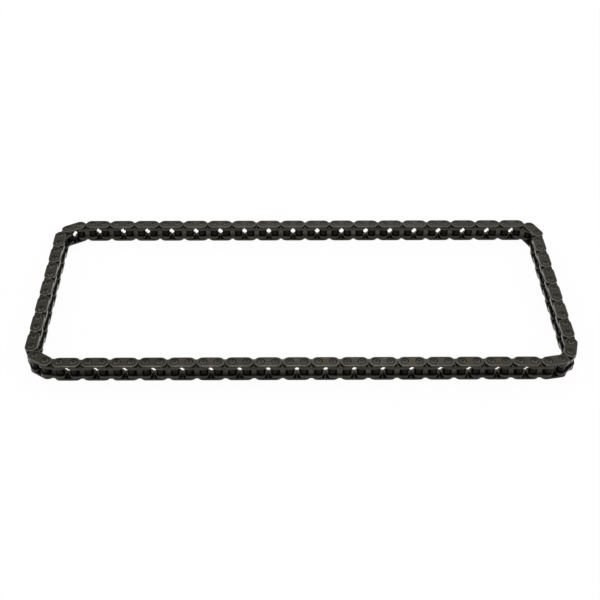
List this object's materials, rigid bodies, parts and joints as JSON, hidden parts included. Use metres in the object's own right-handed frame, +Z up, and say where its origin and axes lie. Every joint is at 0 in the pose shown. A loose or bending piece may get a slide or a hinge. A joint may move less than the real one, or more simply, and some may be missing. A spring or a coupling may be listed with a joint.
{
  "type": "cam chain",
  "caption": "Endless single-strand roller chain for driving a camshaft, riveted all round, lying on its side plates in a rounded rectangle.",
  "frame": {"origin": "middle of the loop as it lies, on the mid-plane between the inner plates", "axes": "+X along the long runs to the right, +Y towards the back run, +Z up out of the side plates along the pins"},
  "size_m": [0.3166, 0.1363, 0.012],
  "materials": {
    "outer_plate_steel": "dark oxide, oiled, worn bright along the edges",
    "inner_plate_steel": "dark oxide, oiled",
    "pin_steel": "dark oxide, ground ends",
    "bush_steel": "dark oxide",
    "roller_steel": "brown-black oxide, oiled"
  },
  "bodies": {
    "back_run": {"back_run_outer_plates": "outer_plate_steel", "back_run_inner_plates": "inner_plate_steel", "back_run_pins": "pin_steel", "back_run_bushes": "bush_steel", "back_run_rollers": "roller_steel"},
    "left_run": {"left_run_outer_plates": "outer_plate_steel", "left_run_inner_plates": "inner_plate_steel", "left_run_pins": "pin_steel", "left_run_bushes": "bush_steel", "left_run_rollers": "roller_steel"},
    "front_run": {"front_run_outer_plates": "outer_plate_steel", "front_run_inner_plates": "inner_plate_steel", "front_run_pins": "pin_steel", "front_run_bushes": "bush_steel", "front_run_rollers": "roller_steel"},
    "right_run": {"right_run_outer_plates": "outer_plate_steel", "right_run_inner_plates": "inner_plate_steel", "right_run_pins": "pin_steel", "right_run_bushes": "bush_steel", "right_run_rollers": "roller_steel"},
    "back_left_corner": {"back_left_link_1_plates": "inner_plate_steel", "back_left_link_1_bushes": "bush_steel", "back_left_link_2_plates": "outer_plate_steel", "back_left_link_2_pins": "pin_steel", "back_left_link_3_plates": "inner_plate_steel", "back_left_link_3_bushes": "bush_steel"},
    "front_left_corner": {"front_left_link_1_plates": "inner_plate_steel", "front_left_link_1_bushes": "bush_steel", "front_left_link_2_plates": "outer_plate_steel", "front_left_link_2_pins": "pin_steel", "front_left_link_3_plates": "inner_plate_steel", "front_left_link_3_bushes": "bush_steel"},
    "front_right_corner": {"front_right_link_1_plates": "outer_plate_steel", "front_right_link_1_pins": "pin_steel", "front_right_link_2_plates": "inner_plate_steel", "front_right_link_2_bushes": "bush_steel", "front_right_link_3_plates": "outer_plate_steel", "front_right_link_3_pins": "pin_steel"},
    "back_right_corner": {"back_right_link_1_plates": "inner_plate_steel", "back_right_link_1_bushes": "bush_steel", "back_right_link_2_plates": "outer_plate_steel", "back_right_link_2_pins": "pin_steel", "back_right_link_3_plates": "inner_plate_steel", "back_right_link_3_bushes": "bush_steel"},
    "back_left_link_1_roller_a": {"back_left_link_1_roller_a": "roller_steel"},
    "back_left_link_1_roller_b": {"back_left_link_1_roller_b": "roller_steel"},
    "back_left_link_3_roller_a": {"back_left_link_3_roller_a": "roller_steel"},
    "back_left_link_3_roller_b": {"back_left_link_3_roller_b": "roller_steel"},
    "front_left_link_1_roller_a": {"front_left_link_1_roller_a": "roller_steel"},
    "front_left_link_1_roller_b": {"front_left_link_1_roller_b": "roller_steel"},
    "front_left_link_3_roller_a": {"front_left_link_3_roller_a": "roller_steel"},
    "front_left_link_3_roller_b": {"front_left_link_3_roller_b": "roller_steel"},
    "front_right_link_2_roller_a": {"front_right_link_2_roller_a": "roller_steel"},
    "front_right_link_2_roller_b": {"front_right_link_2_roller_b": "roller_steel"},
    "back_right_link_1_roller_a": {"back_right_link_1_roller_a": "roller_steel"},
    "back_right_link_1_roller_b": {"back_right_link_1_roller_b": "roller_steel"},
    "back_right_link_3_roller_a": {"back_right_link_3_roller_a": "roller_steel"},
    "back_right_link_3_roller_b": {"back_right_link_3_roller_b": "roller_steel"}
  },
  "joints": [
    {"name": "loop_fold", "type": "hinge", "parent": "back_run", "child": "back_left_corner", "pos_m": [-0.13618, 0.06452, 0], "axis": [0, 0, 1], "range_deg": [-20, 20]},
    {"name": "back_left_pivot_2", "type": "hinge", "parent": "back_left_corner", "child": "left_run", "pos_m": [-0.15462, 0.05238, 0], "axis": [0, 0, 1], "range_deg": [-15.8, 15.8]},
    {"name": "front_left_pivot_1", "type": "hinge", "parent": "left_run", "child": "front_left_corner", "pos_m": [-0.1519, -0.05158, 0], "axis": [0, 0, 1], "range_deg": [-21.43, 21.43]},
    {"name": "front_left_pivot_2", "type": "hinge", "parent": "front_left_corner", "child": "front_run", "pos_m": [-0.13389, -0.06452, 0], "axis": [0, 0, 1], "range_deg": [-14.55, 14.55]},
    {"name": "back_right_pivot_2", "type": "hinge", "parent": "back_run", "child": "back_right_corner", "pos_m": [0.14382, 0.06452, 0], "axis": [0, 0, 1], "range_deg": [-21.29, 21.29]},
    {"name": "back_right_pivot_1", "type": "hinge", "parent": "back_right_corner", "child": "right_run", "pos_m": [0.15385, 0.04632, 0], "axis": [0, 0, 1], "range_deg": [-15.25, 15.25]},
    {"name": "front_right_pivot_2", "type": "hinge", "parent": "right_run", "child": "front_right_corner", "pos_m": [0.15385, -0.04968, 0], "axis": [0, 0, 1], "range_deg": [-19.24, 19.24]},
    {"name": "back_left_link_1_roller_a_spin", "type": "hinge", "parent": "back_left_corner", "child": "back_left_link_1_roller_a", "pos_m": [-0.13618, 0.06452, 0], "axis": [0, 0, 1], "continuous": true},
    {"name": "back_left_link_1_roller_b_spin", "type": "hinge", "parent": "back_left_corner", "child": "back_left_link_1_roller_b", "pos_m": [-0.14412, 0.06354, 0], "axis": [0, 0, 1], "continuous": true},
    {"name": "back_left_link_3_roller_a_spin", "type": "hinge", "parent": "back_left_corner", "child": "back_left_link_3_roller_a", "pos_m": [-0.15105, 0.05954, 0], "axis": [0, 0, 1], "continuous": true},
    {"name": "back_left_link_3_roller_b_spin", "type": "hinge", "parent": "back_left_corner", "child": "back_left_link_3_roller_b", "pos_m": [-0.15462, 0.05238, 0], "axis": [0, 0, 1], "continuous": true},
    {"name": "front_left_link_1_roller_a_spin", "type": "hinge", "parent": "front_left_corner", "child": "front_left_link_1_roller_a", "pos_m": [-0.1519, -0.05158, 0], "axis": [0, 0, 1], "continuous": true},
    {"name": "front_left_link_1_roller_b_spin", "type": "hinge", "parent": "front_left_corner", "child": "front_left_link_1_roller_b", "pos_m": [-0.14852, -0.05883, 0], "axis": [0, 0, 1], "continuous": true},
    {"name": "front_left_link_3_roller_a_spin", "type": "hinge", "parent": "front_left_corner", "child": "front_left_link_3_roller_a", "pos_m": [-0.14177, -0.06313, 0], "axis": [0, 0, 1], "continuous": true},
    {"name": "front_left_link_3_roller_b_spin", "type": "hinge", "parent": "front_left_corner", "child": "front_left_link_3_roller_b", "pos_m": [-0.13389, -0.06452, 0], "axis": [0, 0, 1], "continuous": true},
    {"name": "front_right_link_2_roller_a_spin", "type": "hinge", "parent": "front_right_corner", "child": "front_right_link_2_roller_a", "pos_m": [0.14597, -0.06306, 0], "axis": [0, 0, 1], "continuous": true},
    {"name": "front_right_link_2_roller_b_spin", "type": "hinge", "parent": "front_right_corner", "child": "front_right_link_2_roller_b", "pos_m": [0.15158, -0.05735, 0], "axis": [0, 0, 1], "continuous": true},
    {"name": "back_right_link_1_roller_a_spin", "type": "hinge", "parent": "back_right_corner", "child": "back_right_link_1_roller_a", "pos_m": [0.15385, 0.04632, 0], "axis": [0, 0, 1], "continuous": true},
    {"name": "back_right_link_1_roller_b_spin", "type": "hinge", "parent": "back_right_corner", "child": "back_right_link_1_roller_b", "pos_m": [0.15462, 0.05428, 0], "axis": [0, 0, 1], "continuous": true},
    {"name": "back_right_link_3_roller_a_spin", "type": "hinge", "parent": "back_right_corner", "child": "back_right_link_3_roller_a", "pos_m": [0.15124, 0.06153, 0], "axis": [0, 0, 1], "continuous": true},
    {"name": "back_right_link_3_roller_b_spin", "type": "hinge", "parent": "back_right_corner", "child": "back_right_link_3_roller_b", "pos_m": [0.14382, 0.06452, 0], "axis": [0, 0, 1], "continuous": true}
  ],
  "couplings": [
    {"joint": "back_left_pivot_2", "follows": "loop_fold", "ratio": 0.78991},
    {"joint": "front_left_pivot_1", "follows": "loop_fold", "ratio": -1.0713},
    {"joint": "front_left_pivot_2", "follows": "loop_fold", "ratio": -0.72708},
    {"joint": "back_right_pivot_2", "follows": "loop_fold", "ratio": 1.0642},
    {"joint": "back_right_pivot_1", "follows": "loop_fold", "ratio": 0.76209},
    {"joint": "front_right_pivot_2", "follows": "loop_fold", "ratio": -0.96191}
  ]
}
